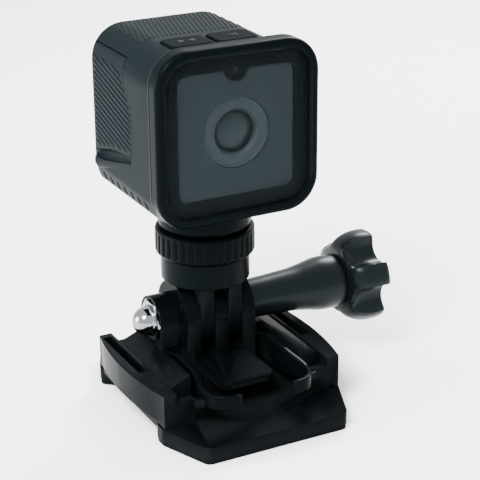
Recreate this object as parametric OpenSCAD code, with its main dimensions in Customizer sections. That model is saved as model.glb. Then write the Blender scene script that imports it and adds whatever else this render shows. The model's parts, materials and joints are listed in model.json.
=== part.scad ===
// Small cube action camera on a tilting, quick-release surface mount.
// +X points to the thumb knob, -Y is the way the lens looks, +Z is up.
// Origin: on the adhesive face, straight below the swivel axis and the tilt axis.

/* [Mount base] */
// Thickness of the foam adhesive pad
pad_t = 1.0; // [0.8:0.1:1.2]
// Thickness of the plastic plate
plate_t = 2.74; // [2.5:0.02:3]
// Widest width of the plate
plate_w = 40; // [39.5:0.1:40.4]
// Width of the plate's clipped front edge
plate_front_w = 31.1; // [30:0.1:32]
// Distance from the swivel axis to the front edge
plate_front = 31.7; // [31:0.1:33]
// Distance from the swivel axis to the rear edge
plate_rear = 21; // [20:0.1:22]
// Height of the side rails above the resting face
rail_top = 10.9; // [10.6:0.1:11.1]

/* [Hinge] */
// Height of the tilt axis above the resting face
tilt_z = 17.4; // [17.3:0.05:17.5]
// Thickness of one hinge prong
prong_t = 3.0; // [2.9:0.05:3.05]
// Distance between neighbouring prongs of one part
prong_pitch = 6.2; // [6.15:0.01:6.25]
// Radius of the prong ends
prong_r = 7.4; // [7.2:0.05:7.45]
// Radius of the clamping screw
screw_r = 2.5; // [2.45:0.01:2.5]

/* [Thumb screw] */
// Largest radius of the knob's lobes
knob_r = 10; // [9.6:0.1:10.2]
// Number of lobes on the knob
lobes = 5; // [5:1:6]
// X of the knob's outer end
knob_end = 39.4; // [39:0.1:39.8]

/* [Adapter] */
// Radius of the disc that carries the two prongs
disc_r = 9.15; // [9:0.05:9.3]
// Radius of the knurled locking ring
ring_r = 10.25; // [10:0.05:10.4]
// Radius of the clamping disc under the camera
clamp_r = 9.5; // [9.3:0.05:9.6]
// Radius of the 1/4 inch tripod stud
stud_r = 3.15; // [3.1:0.01:3.15]

/* [Camera] */
// Width of the front bezel
cam_w = 34.8; // [34.6:0.1:35]
// Width of the body behind the bezel
body_w = 31.3; // [31.1:0.1:31.5]
// Height of the front bezel
bezel_h = 35; // [34.8:0.1:35.2]
// Height of the camera's underside above the resting face
cam_bottom = 42.3; // [42.2:0.05:42.4]
// Height of the flat top of the housing
cam_top = 75.4; // [75.3:0.05:75.5]
// Distance from the swivel axis to the front of the bezel
cam_front = 16.2; // [16:0.1:16.4]
// Distance from the swivel axis to the back
cam_back = 19.6; // [19.5:0.1:19.8]
// Radius of the camera's long edges
cam_r = 7; // [6.8:0.1:7.2]
// Wall thickness of the housing
wall = 2.2; // [2.1:0.05:2.3]
// Angle that the side door opens to in this view (0 is shut)
door_open = 0; // [0:5:100]

/* [Hidden] */
$fn = 64;
eps = 0.01;
plate_top = pad_t + plate_t;
body_hw = body_w / 2;
lens_z = 59.76;
light_z = 72.2;
insert_r = 5;
insert_top = 48.4;
glass_size = [31.8, 32];
glass_corner = 5.7;
fascia_size = [31.4, 31.6];
fascia_corner = 5.5;
// lower long edge of the body, measured in and up from the corner
lower_edge = [[0, 4.2], [0.85, 1.3], [1.4, 0.6], [2.2, 0.2], [3.3, 0]];
flare_y = -10;
run = 0.05;

// Hinge stack along X
fork_out = prong_pitch + prong_t / 2;
boss_end = 12.6;
boss_r = 5.1;
nut_af = 8.0;
nut_end = 12.9;
dome_r = 3.0;
dome_end = 16.6;

// Adapter stack along Z
disc_z0 = 25.2;
disc_z1 = 30.5;
ring_z0 = 30.8;
ring_z1 = 36.4;
clamp_z0 = 36.7;
rubber_z0 = 40.8;
stud_top = 46.6;

// Front stack along Y, front to back
lip_y = -15.4;
mask_y = -14.6;
fascia_y = -14.4;
seal_y = -13.4;
housing_y = -13.0;
cover_y = cam_back - 1.9;

// Door, hinged along its top edge
door_hinge = [1.7 - body_hw, cam_top - 4.6];
door_t = 1.4;
door_x = -body_hw + door_t;
plug_x = door_x + 0.65;
inner_x = -body_hw + wall;
barrel_r = 1.2;
hinge_relief = 1.65;
door_pin_r = 0.4;
door_front = 3.3;
door_rear = 18.6;
door_top = door_hinge[1] + 0.9;
opening_top = door_hinge[1] - 1.3;
plug_top = door_hinge[1] - 2.2;
door_edge = [[door_front, door_top], [door_front, 68.0], [1.8, 65.3], [-0.1, 62.8], [-0.4, 59.8],
             [-0.4, 53.2], [2.9, 52.7], [9.4, 52.0], [14.7, 50.5], [door_rear, 49.5],
             [door_rear, door_top]];

// Buttons on the top
button_size = [8.7, 6.6];
button_top = 75.85;
button_x = [-4.9, 4.9];
button_y = -3.5;
button_flange = cam_top - wall - 0.3;
switch_z = 68.8;

// Release arms, right hand side
arm_root = [10.3, -5.9];
arm_path = [[10.3, -5.9], [10.3, -14], [11.3, -20], [11.2, -23.6], [9.2, -26.2], [5.8, -26.9]];
arm_t = 1.1;

// ---------- helpers ----------

// Extrude a 2D (X, Y) outline from z0 to z1
module slab_z(z0, z1) { translate([0, 0, z0]) linear_extrude(z1 - z0) children(); }

// Extrude a 2D (X, Z) outline from y0 to y1
module slab_y(y0, y1) { translate([0, y1, 0]) rotate([90, 0, 0]) linear_extrude(y1 - y0) children(); }

// Extrude a 2D (Y, Z) outline from x0 to x1
module slab_x(x0, x1) { translate([x0, 0, 0]) rotate([90, 0, 90]) linear_extrude(x1 - x0) children(); }

// Rectangular block between two corners
module block(lo, hi) { translate(lo) cube(hi - lo); }

module rod_x(r, x0, x1, y, z) { translate([x0, y, z]) rotate([0, 90, 0]) cylinder(r = r, h = x1 - x0); }
module rod_y(r, y0, y1, x, z) { translate([x, y1, z]) rotate([90, 0, 0]) cylinder(r = r, h = y1 - y0); }
module rod_z(r, z0, z1, x = 0, y = 0) { translate([x, y, z0]) cylinder(r = r, h = z1 - z0); }

// Rectangle with true round corners
module rounded_rect(size, r) {
    w = size[0] / 2;
    h = size[1] / 2;
    square([2 * w - 2 * r, 2 * h], center = true);
    square([2 * w, 2 * h - 2 * r], center = true);
    for (sx = [-1, 1], sy = [-1, 1]) translate([sx * (w - r), sy * (h - r)]) circle(r);
}

module both_sides() {
    children();
    mirror([1, 0, 0]) children();
}

module both_ends() {
    children();
    mirror([0, 1, 0]) children();
}

// Camera cross-section (X, Z), moved inwards by inset
module body_profile(inset) {
    w = body_hw - inset;
    top = cam_top - inset;
    base = cam_bottom + inset;
    r = cam_r - inset;
    k = max(1 - inset / 4.5, 0.1);
    left = [for (e = lower_edge) [-w + k * e[0], base + k * e[1]]];
    right = [for (i = [len(left) - 1:-1:0]) [-left[i][0], left[i][1]]];
    polygon(concat(left, right, [[w, top - r], [w - r, top], [r - w, top], [-w, top - r]]));
    for (s = [-1, 1]) translate([s * (w - r), top - r]) circle(r);
}

// Square bezel outline (X, Z) with the given size and corner radius
module front_square(w, h, r) { translate([0, lens_z]) rounded_rect([w, h], r); }

// ---------- mount ----------

module plate_outline() {
    half = plate_w / 2;
    waist = 17.4;
    nose = plate_front_w / 2;
    side = [[nose, -plate_front], [half, -20.5], [half, -17.5], [waist, -15.5],
            [waist, 7.5], [half, 9.5], [half, 10.8], [nose, plate_rear]];
    polygon(concat(side, [for (i = [len(side) - 1:-1:0]) [-side[i][0], side[i][1]]]));
}

// Plate outline with its corners rounded
module plate_face() { offset(r = 1.8, $fn = 48) offset(delta = -1.8) plate_outline(); }

module adhesive_pad() color([0.16, 0.16, 0.17]) slab_z(0, pad_t) offset(delta = -0.15) plate_face();

// Bulging finger-grip wing over one rail
module wing() {
    bulge_r = 68.3;
    intersection() {
        slab_z(5, rail_top) translate([21.6 - bulge_r, -5]) circle(bulge_r, $fn = 256);
        block([17, -21, 4], [22, 11, 12]);
    }
}

module mount_base() color([0.05, 0.06, 0.07]) {
    difference() {
        union() {
            slab_z(pad_t, plate_top) plate_face();
            both_sides() {
                wing();
                block([17, -21, plate_top - 1], [19.7, 11, rail_top]);
                block([12.9, -21.1, plate_top - 1], [17.5, -19.4, 9.0]);
            }
        }
        // grooves that hold the buckle's flanges, and the lightening slots in the wings
        both_sides() {
            block([16.9, -18.2, 4.1], [18.6, 11.1, 7.1]);
            block([17.7, -9, 8.2], [19.6, 9.4, rail_top + 1]);
        }
    }
}

// Cross-section (X, Z) of the sliding buckle above the plate
module buckle_profile() {
    floor_z = plate_top + 0.1;
    polygon([[-16.8, floor_z], [16.8, floor_z], [16.8, 10.7], [12.6, 12.4], [-12.6, 12.4], [-16.8, 10.7]]);
}

// One hinge prong standing on the buckle, between two X positions
module fork_prong(x0, x1) {
    rod_x(prong_r, x0, x1, 0, tilt_z);
    block([x0, -prong_r, 8], [x1, prong_r, tilt_z]);
}

module buckle() color([0.06, 0.07, 0.08]) {
    floor_z = plate_top + 0.1;
    tongue_top = 9.5;
    tongue_t = 1.4;
    difference() {
        union() {
            difference() {
                slab_y(-17.8, 6.7) buckle_profile();
                // bay for the release arms
                block([-12.3, -18, floor_z - 1], [12.3, -6.6, 14]);
            }
            both_sides() block([15, -17, 4.3], [18.4, 6.7, 6.9]);
            // centre tongue, a thin plate that stands clear of the base in front of its root
            slab_z(tongue_top - tongue_t, tongue_top) translate([0, -12.6]) rounded_rect([12, 13.4], 2);
            block([-6, -10.6, floor_z], [6, -6, tongue_top]);
            for (i = [-1:1]) fork_prong(i * prong_pitch - prong_t / 2, i * prong_pitch + prong_t / 2);
            rod_x(boss_r, -boss_end, -fork_out + eps, 0, tilt_z);
            block([-boss_end, -boss_r, 11], [-fork_out + eps, boss_r, tilt_z]);
        }
        // swing room for the adapter's prongs
        for (s = [-1, 1]) {
            x0 = (s - 1) * prong_pitch / 2 + prong_t / 2;
            x1 = (s + 1) * prong_pitch / 2 - prong_t / 2;
            rod_x(prong_r + 0.3, x0, x1, 0, tilt_z);
            both_ends() slab_x(x0, x1) polygon([[2, 9.9], [7, 11.4], [7, 14], [2, 14]]);
        }
        rod_x(screw_r + run, -boss_end - 1, fork_out + 1, 0, tilt_z);
        // hexagonal seat of the nut
        translate([-boss_end - 1, 0, tilt_z]) rotate([0, 90, 0])
            cylinder(r = nut_af / sqrt(3) + 0.1, h = 3, $fn = 6);
        // sockets of the release arms
        both_sides() rod_z(barrel_r + 0.05, 6.3, 13, arm_root[0], arm_root[1]);
    }
}

module cap_nut() color([0.85, 0.86, 0.88]) difference() {
    union() {
        translate([-nut_end, 0, tilt_z]) rotate([0, 90, 0])
            cylinder(r = nut_af / sqrt(3), h = nut_end - boss_end + 1.9, $fn = 6);
        rod_x(dome_r + 0.3, -nut_end - 0.5, -nut_end + eps, 0, tilt_z);
        rod_x(dome_r, -dome_end + dome_r, -nut_end, 0, tilt_z);
        translate([-dome_end + dome_r, 0, tilt_z]) sphere(dome_r);
    }
    rod_x(screw_r + run, -dome_end + 3.2, -8, 0, tilt_z);
}

// Sprung arm, drawn for the right hand side
module release_arm() {
    intersection() {
        union() {
            for (i = [0:len(arm_path) - 2])
                slab_z(6.5, 12.3) hull() {
                    translate(arm_path[i]) circle(d = arm_t, $fn = 24);
                    translate(arm_path[i + 1]) circle(d = arm_t, $fn = 24);
                }
            // catch that stands in front of the base's stop
            block([11, -23.2, 7.6], [13.7, -21.3, 9.4]);
        }
        // side view of the arm: high at the root, lower at the finger tab
        slab_x(4, 15) polygon([[-4, 6.5], [-4, 12.3], [-15, 12.3], [-22, 11], [-30, 11],
                               [-30, 8.3], [-20, 7.5], [-15, 6.5]]);
    }
    rod_z(barrel_r - run, 6.5, 12.3, arm_root[0], arm_root[1]);
}

module release_arm_right() color([0.07, 0.08, 0.09]) release_arm();
module release_arm_left() color([0.07, 0.08, 0.09]) mirror([1, 0, 0]) release_arm();

// ---------- thumb screw ----------

module clamp_screw() color([0.7, 0.7, 0.72]) rod_x(screw_r, -13.2, 30, 0, tilt_z);

module thrust_washer() color([0.75, 0.75, 0.77]) difference() {
    rod_x(4.2, fork_out + 0.05, 8.3, 0, tilt_z);
    rod_x(screw_r + run, fork_out - 1, 9, 0, tilt_z);
}

// Half section of the sleeve and knob: distance along X, radius
module knob_section() {
    neck_r = 5.8;
    head_x = 31.2;
    head = 4.5;
    start_r = 6.3;
    polygon(concat([[8.35, 0], [8.35, 4.1], [20, 4.6], [26.5, neck_r], [head_x - 0.5, neck_r],
                    [head_x, neck_r - 0.5], [head_x, start_r]],
                   [for (a = [15:15:90])
                       [head_x + head * (1 - cos(a)), start_r + (knob_r - start_r) * sin(a)]],
                   [[knob_end, knob_r - 0.2], [knob_end - 1.4, 5.5], [knob_end - 1.8, 0]]));
}

module thumb_knob() color([0.06, 0.07, 0.08]) translate([0, 0, tilt_z]) difference() {
    rotate([0, 90, 0]) rotate_extrude() rotate(90) mirror([0, 1]) knob_section();
    // finger flutes between the lobes
    for (i = [0:lobes - 1])
        rotate([180 / lobes - 2 + i * 360 / lobes, 0, 0]) rod_x(3.5, 31.9, knob_end + 1, 0, 9.8);
    rod_x(screw_r, 0, 30, 0, 0);
}

// ---------- adapter ----------

module adapter_fork() color([0.07, 0.08, 0.09]) difference() {
    union() {
        rod_z(disc_r, disc_z0, disc_z1);
        for (s = [-1, 1]) {
            x0 = s * prong_pitch / 2 - prong_t / 2;
            rod_x(prong_r, x0, x0 + prong_t, 0, tilt_z);
            block([x0, -prong_r, tilt_z], [x0 + prong_t, prong_r, disc_z0 + 1]);
        }
    }
    rod_x(screw_r + run, -6, 6, 0, tilt_z);
    rod_z(stud_r, 27, disc_z1 + 1);
}

module tripod_stud() color([0.75, 0.65, 0.4]) rod_z(stud_r, 27, stud_top);

module ring_outline(outer, inner) {
    difference() {
        circle(outer);
        circle(inner);
    }
}

module clamp_disc() color([0.08, 0.09, 0.1])
    slab_z(clamp_z0, rubber_z0) ring_outline(clamp_r, stud_r + 0.1);

module rubber_pad() color([0.03, 0.03, 0.03])
    slab_z(rubber_z0, cam_bottom - 0.1) ring_outline(clamp_r - 0.2, stud_r + 0.1);

module lock_ring() color([0.06, 0.07, 0.08]) difference() {
    rod_z(ring_r, ring_z0, ring_z1);
    rod_z(stud_r + run, ring_z0 - 1, ring_z1 + 1);
    // knurling grooves
    for (i = [0:35]) rotate(i * 10) rod_z(0.35, ring_z0 + 0.6, ring_z1 - 0.6, ring_r + 0.1);
}

// ---------- camera body ----------

// Outline (Y, Z) of the side door, grown or shrunk by grow
module door_outline(grow) { offset(delta = grow) polygon(door_edge); }

module boss_holes(r, y0, y1) {
    for (s = [-1, 1]) {
        rod_y(r, y0, y1, s * 10.9, 70.4);
        rod_y(r, y0, y1, s * 10, 46.4);
    }
}

// Body that flares out to the bezel at its front end
module body_solid() {
    slab_y(flare_y, cam_back) body_profile(0);
    hull() {
        slab_y(housing_y, housing_y + 0.6) front_square(cam_w, bezel_h, cam_r);
        slab_y(flare_y - 0.1, flare_y) body_profile(0);
    }
}

module housing() color([0.16, 0.19, 0.21]) difference() {
    union() {
        difference() {
            body_solid();
            slab_y(housing_y - 1, cam_back - 2.7) body_profile(wall);
            slab_y(cam_back - 3.6, cam_back - 1.6) body_profile(4.4);
            slab_y(cover_y, cam_back + 1) body_profile(2.6);
        }
        rod_z(insert_r + 1.6, cam_bottom + 1, insert_top);
        boss_holes(1.9, 10, cover_y);
    }
    rod_z(insert_r, cam_bottom - 1, insert_top + 1.6);
    boss_holes(0.8, 8, cam_back);
    // door recess, port opening and hinge relief
    slab_x(-body_hw - 1, door_x) {
        door_outline(0.12);
        translate([0, 0.5]) door_outline(0.12);
    }
    slab_x(-body_hw, inner_x + 0.6) intersection() {
        door_outline(-1.4);
        square([cam_back - 2.9, opening_top]);
    }
    rod_y(hinge_relief, door_front - 0.3, door_rear + 0.12, door_hinge[0], door_hinge[1]);
    rod_y(door_pin_r, 1.3, door_rear + 0.7, door_hinge[0], door_hinge[1]);
    // finger notch under the door
    translate([-body_hw - 0.9, 0.2, 52.6]) rotate([-101.5, 0, 0]) cylinder(r = 1.7, h = 17.6);
    // button openings
    for (x = button_x) slab_z(70, 80) translate([x, button_y]) rounded_rect(button_size + [0.2, 0.2], 1.1);
    // speaker and microphone slots in the rounded lower left edge
    for (i = [0:6]) translate([-15.25, -5.2 + i * 3.4, 44.35]) rotate([0, 74, 0]) rotate([0, 0, -25])
        cube([1.9, 0.95, 5], center = true);
}

module rear_cover() color([0.14, 0.17, 0.19]) difference() {
    slab_y(cover_y, cam_back) body_profile(2.7);
    boss_holes(0.85, cover_y - 1, cam_back);
    boss_holes(1.45, cam_back - 1, cam_back + 1);
}

module cover_screws() color([0.5, 0.5, 0.52]) {
    boss_holes(0.8, 11, cam_back - 1);
    boss_holes(1.4, cam_back - 1, cam_back - 0.2);
}

module bezel() color([0.05, 0.07, 0.08]) difference() {
    slab_y(-cam_front, housing_y) front_square(cam_w, bezel_h, cam_r);
    slab_y(-cam_front - 1, lip_y + 1) front_square(30.8, 31, 5.2);
    slab_y(lip_y, housing_y + 1) front_square(32, 32.2, 5.8);
}

module glass_outline() { front_square(glass_size[0], glass_size[1], glass_corner); }
module fascia_outline() { front_square(fascia_size[0], fascia_size[1], fascia_corner); }

module front_glass() color([0.2, 0.24, 0.26, 0.5]) slab_y(lip_y, mask_y) glass_outline();

module glass_mask() color([0.02, 0.03, 0.04]) slab_y(mask_y, fascia_y) difference() {
    glass_outline();
    difference() {
        front_square(24.7, 24.9, 1.8);
        translate([0, light_z + 0.1]) circle(2.4);
    }
    translate([0, light_z]) circle(0.6);
}

module fascia() color([0.2, 0.24, 0.26]) slab_y(fascia_y, seal_y) difference() {
    fascia_outline();
    translate([0, lens_z]) circle(7.1);
    translate([0, light_z]) circle(1.0);
}

module glass_seal() color([0.03, 0.03, 0.03]) slab_y(seal_y, housing_y) difference() {
    fascia_outline();
    front_square(28.4, 28.4, 4);
}

module lens_ring() color([0.1, 0.12, 0.13])
    slab_y(fascia_y, -12.4) translate([0, lens_z]) ring_outline(7.0, 5.0);

module lens_barrel() color([0.08, 0.09, 0.1]) difference() {
    union() {
        rod_y(6.6, -12.4, -9, 0, lens_z);
        rod_y(6.0, -9, -2, 0, lens_z);
    }
    rod_y(4.75, -13, -9.8, 0, lens_z);
    rod_y(4.1, -10, -1, 0, lens_z);
}

module front_lens() color([0.3, 0.35, 0.4, 0.5]) {
    rod_y(4.7, -12.6, -9.8, 0, lens_z);
    intersection() {
        translate([0, -7.25, lens_z]) sphere(6.85);
        rod_y(4.2, -14.2, -12.6, 0, lens_z);
    }
}

module rear_lens() color([0.3, 0.35, 0.4, 0.5]) rod_y(4.0, -5, -3.4, 0, lens_z);

module lens_holder() color([0.06, 0.06, 0.07]) difference() {
    block([-8, -8, lens_z - 8], [8, -0.6, lens_z + 8]);
    rod_y(6.05, -9, 0, 0, lens_z);
}

module image_sensor() color([0.12, 0.2, 0.22])
    block([-3.5, -1.5, lens_z - 2.6], [3.5, -0.6, lens_z + 2.6]);

module sensor_board() color([0.05, 0.25, 0.15])
    slab_y(-0.6, 0.4) difference() {
        front_square(20, 20, 1);
        for (sx = [-1, 1], sz = [-1, 1]) translate([sx * 8.8, lens_z + sz * 8.8]) circle(0.6);
    }

module chassis() color([0.3, 0.31, 0.32]) slab_y(-0.6, 3.0) difference() {
    translate([0, 60]) rounded_rect([24.8, 21.6], 2);
    translate([0, lens_z]) rounded_rect([20.2, 20.2], 1.2);
}

module main_board() color([0.05, 0.25, 0.15])
    slab_y(3.0, 4.2) translate([0, 60]) rounded_rect([24.4, 21.4], 1);

module shield_can() color([0.72, 0.73, 0.74])
    block([-7, 1.2, lens_z - 7], [7, 3.0, lens_z + 7]);

module battery() color([0.55, 0.57, 0.6])
    slab_y(6.4, 16.0) translate([3.6, 58.2]) rounded_rect([18.4, 18.6], 0.8);

module battery_foam() color([0.12, 0.12, 0.12]) block([3.6, 4.2, 52], [12.2, 6.4, 66]);

module card_socket() color([0.75, 0.75, 0.76]) difference() {
    block([-12.4, 4.2, 57.4], [3.1, 6.0, 69.2]);
    block([-13.4, 4.6, 57.8], [2.4, 5.5, 68.8]);
}

module memory_card() color([0.05, 0.05, 0.06]) block([-13.0, 4.65, 57.9], [2.0, 5.4, 68.7]);

module usb_port() color([0.78, 0.78, 0.8]) difference() {
    slab_x(-13.3, -6.2) translate([9, 61.5]) rounded_rect([3.2, 9], 1.5);
    slab_x(-14, -7.4) translate([9, 61.5]) rounded_rect([2.6, 8.4], 1.25);
}

module port_board() color([0.05, 0.25, 0.15]) block([-12.5, 10.6, 52], [-6.2, 11.4, 67.8]);

module port_panel() color([0.1, 0.11, 0.12]) slab_x(inner_x + 0.12, inner_x + 0.8) difference() {
    translate([0.2, 50.6]) square([16.6, 18.7]);
    translate([4.5, 57.7]) square([1.1, 11.1]);
    translate([9, 61.5]) rounded_rect([3.3, 9.1], 1.55);
}

module speaker() color([0.2, 0.2, 0.21]) block([-12.4, -5, 45.3], [-7.0, 6, 47.3]);

module microphone() color([0.7, 0.6, 0.35]) block([-12.2, -9.4, 45.3], [-9.2, -6.4, 46.5]);

module status_light() color([0.15, 0.16, 0.17]) rod_y(0.9, fascia_y, -12.2, 0, light_z);

// Rubber-faced key: cap, retaining flange and stem
module top_button(x) translate([x, button_y, 0]) {
    slab_z(button_flange - eps, button_top) rounded_rect(button_size, 1);
    slab_z(button_flange - 1, button_flange) rounded_rect(button_size + [1, 1], 1.4);
    rod_z(0.9, button_flange - 1.4, button_flange - 1 + eps);
}

module button_left() color([0.12, 0.15, 0.16]) top_button(button_x[0]);
module button_right() color([0.12, 0.15, 0.16]) top_button(button_x[1]);

module switch_board() color([0.05, 0.25, 0.15]) block([-9.8, -7, switch_z], [9.8, -0.8, switch_z + 0.7]);

module switches() color([0.7, 0.7, 0.72]) for (x = button_x) {
    block([x - 1.8, button_y - 1.8, switch_z + 0.7], [x + 1.8, button_y + 1.8, switch_z + 1.7]);
    rod_z(1.0, switch_z + 1.7, switch_z + 2.1, x, button_y);
}

module tripod_insert() color([0.8, 0.65, 0.3])
    slab_z(cam_bottom, insert_top) ring_outline(insert_r, stud_r + run);

// ---------- side door ----------

module door_swing() {
    translate([door_hinge[0], 0, door_hinge[1]]) rotate([0, door_open, 0])
        translate([-door_hinge[0], 0, -door_hinge[1]]) children();
}

module side_door() color([0.15, 0.18, 0.2]) door_swing() difference() {
    union() {
        intersection() {
            slab_y(-5, cam_back) body_profile(0);
            slab_x(-body_hw - 1, door_x) door_outline(0);
            // the top edge is rounded about the hinge
            union() {
                block([-body_hw - 1, -5, 40], [0, cam_back, door_hinge[1]]);
                rod_y(barrel_r, -5, cam_back, door_hinge[0], door_hinge[1]);
            }
        }
        slab_x(door_x - eps, plug_x) intersection() {
            door_outline(-2.7);
            square([cam_back, plug_top]);
        }
        rod_y(barrel_r, door_front, door_rear, door_hinge[0], door_hinge[1]);
        block([door_hinge[0] - 0.8, door_front, door_hinge[1] - 0.8], [door_x, door_rear, door_hinge[1]]);
    }
    rod_y(door_pin_r + run, -1, cam_back, door_hinge[0], door_hinge[1]);
}

module door_seal() color([0.03, 0.03, 0.03]) door_swing() slab_x(door_x, plug_x - 0.1) intersection() {
    difference() {
        door_outline(-1.6);
        intersection() {
            door_outline(-2.7);
            square([cam_back, plug_top]);
        }
    }
    square([cam_back - 3, opening_top - 0.1]);
}

module door_pin() color([0.7, 0.7, 0.72]) rod_y(door_pin_r, 1.3, door_rear + 0.6, door_hinge[0], door_hinge[1]);

// ---------- drawing ----------

adhesive_pad();
mount_base();
buckle();
cap_nut();
release_arm_left();
release_arm_right();
clamp_screw();
thrust_washer();
thumb_knob();
adapter_fork();
tripod_stud();
clamp_disc();
rubber_pad();
lock_ring();
housing();
rear_cover();
cover_screws();
bezel();
front_glass();
glass_mask();
fascia();
glass_seal();
lens_ring();
lens_barrel();
front_lens();
rear_lens();
lens_holder();
image_sensor();
sensor_board();
chassis();
main_board();
shield_can();
battery();
battery_foam();
card_socket();
memory_card();
usb_port();
port_board();
port_panel();
speaker();
microphone();
status_light();
button_left();
button_right();
switch_board();
switches();
tripod_insert();
side_door();
door_seal();
door_pin();
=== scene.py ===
import json
import math
import bmesh
import bpy
from mathutils import Matrix, Vector


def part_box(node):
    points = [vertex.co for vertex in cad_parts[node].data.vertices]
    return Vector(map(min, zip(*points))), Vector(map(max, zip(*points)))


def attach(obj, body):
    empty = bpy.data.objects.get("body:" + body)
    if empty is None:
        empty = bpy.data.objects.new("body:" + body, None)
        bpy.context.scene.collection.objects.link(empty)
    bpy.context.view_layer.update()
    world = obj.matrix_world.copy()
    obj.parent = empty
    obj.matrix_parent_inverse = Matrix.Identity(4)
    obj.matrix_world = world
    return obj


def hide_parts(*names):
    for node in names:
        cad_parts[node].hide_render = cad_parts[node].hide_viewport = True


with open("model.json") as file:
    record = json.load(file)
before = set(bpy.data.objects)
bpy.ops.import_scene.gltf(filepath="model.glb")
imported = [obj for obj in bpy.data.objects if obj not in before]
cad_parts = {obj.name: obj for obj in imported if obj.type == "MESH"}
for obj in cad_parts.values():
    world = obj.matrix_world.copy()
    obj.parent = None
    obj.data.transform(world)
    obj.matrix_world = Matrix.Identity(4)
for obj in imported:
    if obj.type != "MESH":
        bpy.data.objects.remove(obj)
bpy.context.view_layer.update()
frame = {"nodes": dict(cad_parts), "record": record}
NODES = frame["nodes"]
MM = 0.001


def mm_box(node):
    """Lowest and highest corner of a CAD node at rest, in millimetres."""
    lo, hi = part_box(node)
    return [v / MM for v in lo], [v / MM for v in hi]


# ---------- materials ----------

def add(nt, kind, **inputs):
    """Adds a shader node and sets its inputs."""
    n = nt.nodes.new(kind)
    for k, v in inputs.items():
        n.inputs[k.replace("_", " ")].default_value = v
    return n


def surface(name, dark, light, rough, grain=2500.0, bump=0.15, metal=0.0, wear=0.0, patch=120.0, swing=0.08,
            stretch=(1, 1, 1), alpha=1.0, specular=0.5):
    """Procedural finish: blotchy colour, uneven roughness, fine grain bump and lighter worn edges."""
    m = bpy.data.materials.new(name)
    m.use_nodes = True
    nt = m.node_tree
    b = nt.nodes["Principled BSDF"]
    b.inputs["Metallic"].default_value = metal
    b.inputs["Alpha"].default_value = alpha
    b.inputs["Specular IOR Level"].default_value = specular
    if not metal:
        b.inputs["Specular Tint"].default_value = (0.78, 0.94, 1.0, 1)
    at = add(nt, "ShaderNodeTexCoord")
    mp = add(nt, "ShaderNodeMapping")
    mp.inputs["Scale"].default_value = stretch
    nt.links.new(at.outputs["Object"], mp.inputs["Vector"])
    big = add(nt, "ShaderNodeTexNoise", Scale=patch, Detail=6.0, Roughness=0.6)
    fine = add(nt, "ShaderNodeTexNoise", Scale=grain, Detail=3.0, Roughness=0.65)
    for n in (big, fine):
        nt.links.new(mp.outputs["Vector"], n.inputs["Vector"])
    mix = add(nt, "ShaderNodeMix")
    mix.data_type = "RGBA"
    mix.inputs["A"].default_value = (*dark, 1)
    mix.inputs["B"].default_value = (*light, 1)
    nt.links.new(big.outputs["Fac"], mix.inputs["Factor"])
    colour = mix.outputs["Result"]
    if wear:
        geo = add(nt, "ShaderNodeNewGeometry")
        edge = add(nt, "ShaderNodeMapRange")
        edge.inputs["From Min"].default_value = 0.52
        edge.inputs["From Max"].default_value = 0.62
        edge.inputs["To Max"].default_value = wear
        nt.links.new(geo.outputs["Pointiness"], edge.inputs["Value"])
        over = add(nt, "ShaderNodeMix")
        over.data_type = "RGBA"
        over.inputs["B"].default_value = (*[min(1.0, 2.5 * c + 0.04) for c in light], 1)
        nt.links.new(edge.outputs["Result"], over.inputs["Factor"])
        nt.links.new(colour, over.inputs["A"])
        colour = over.outputs["Result"]
    nt.links.new(colour, b.inputs["Base Color"])
    rr = add(nt, "ShaderNodeMapRange")
    rr.inputs["To Min"].default_value = max(0.02, rough - swing)
    rr.inputs["To Max"].default_value = rough + swing
    nt.links.new(big.outputs["Fac"], rr.inputs["Value"])
    nt.links.new(rr.outputs["Result"], b.inputs["Roughness"])
    bp = add(nt, "ShaderNodeBump", Strength=bump, Distance=0.00004)
    nt.links.new(fine.outputs["Fac"], bp.inputs["Height"])
    nt.links.new(bp.outputs["Normal"], b.inputs["Normal"])
    return m


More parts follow.
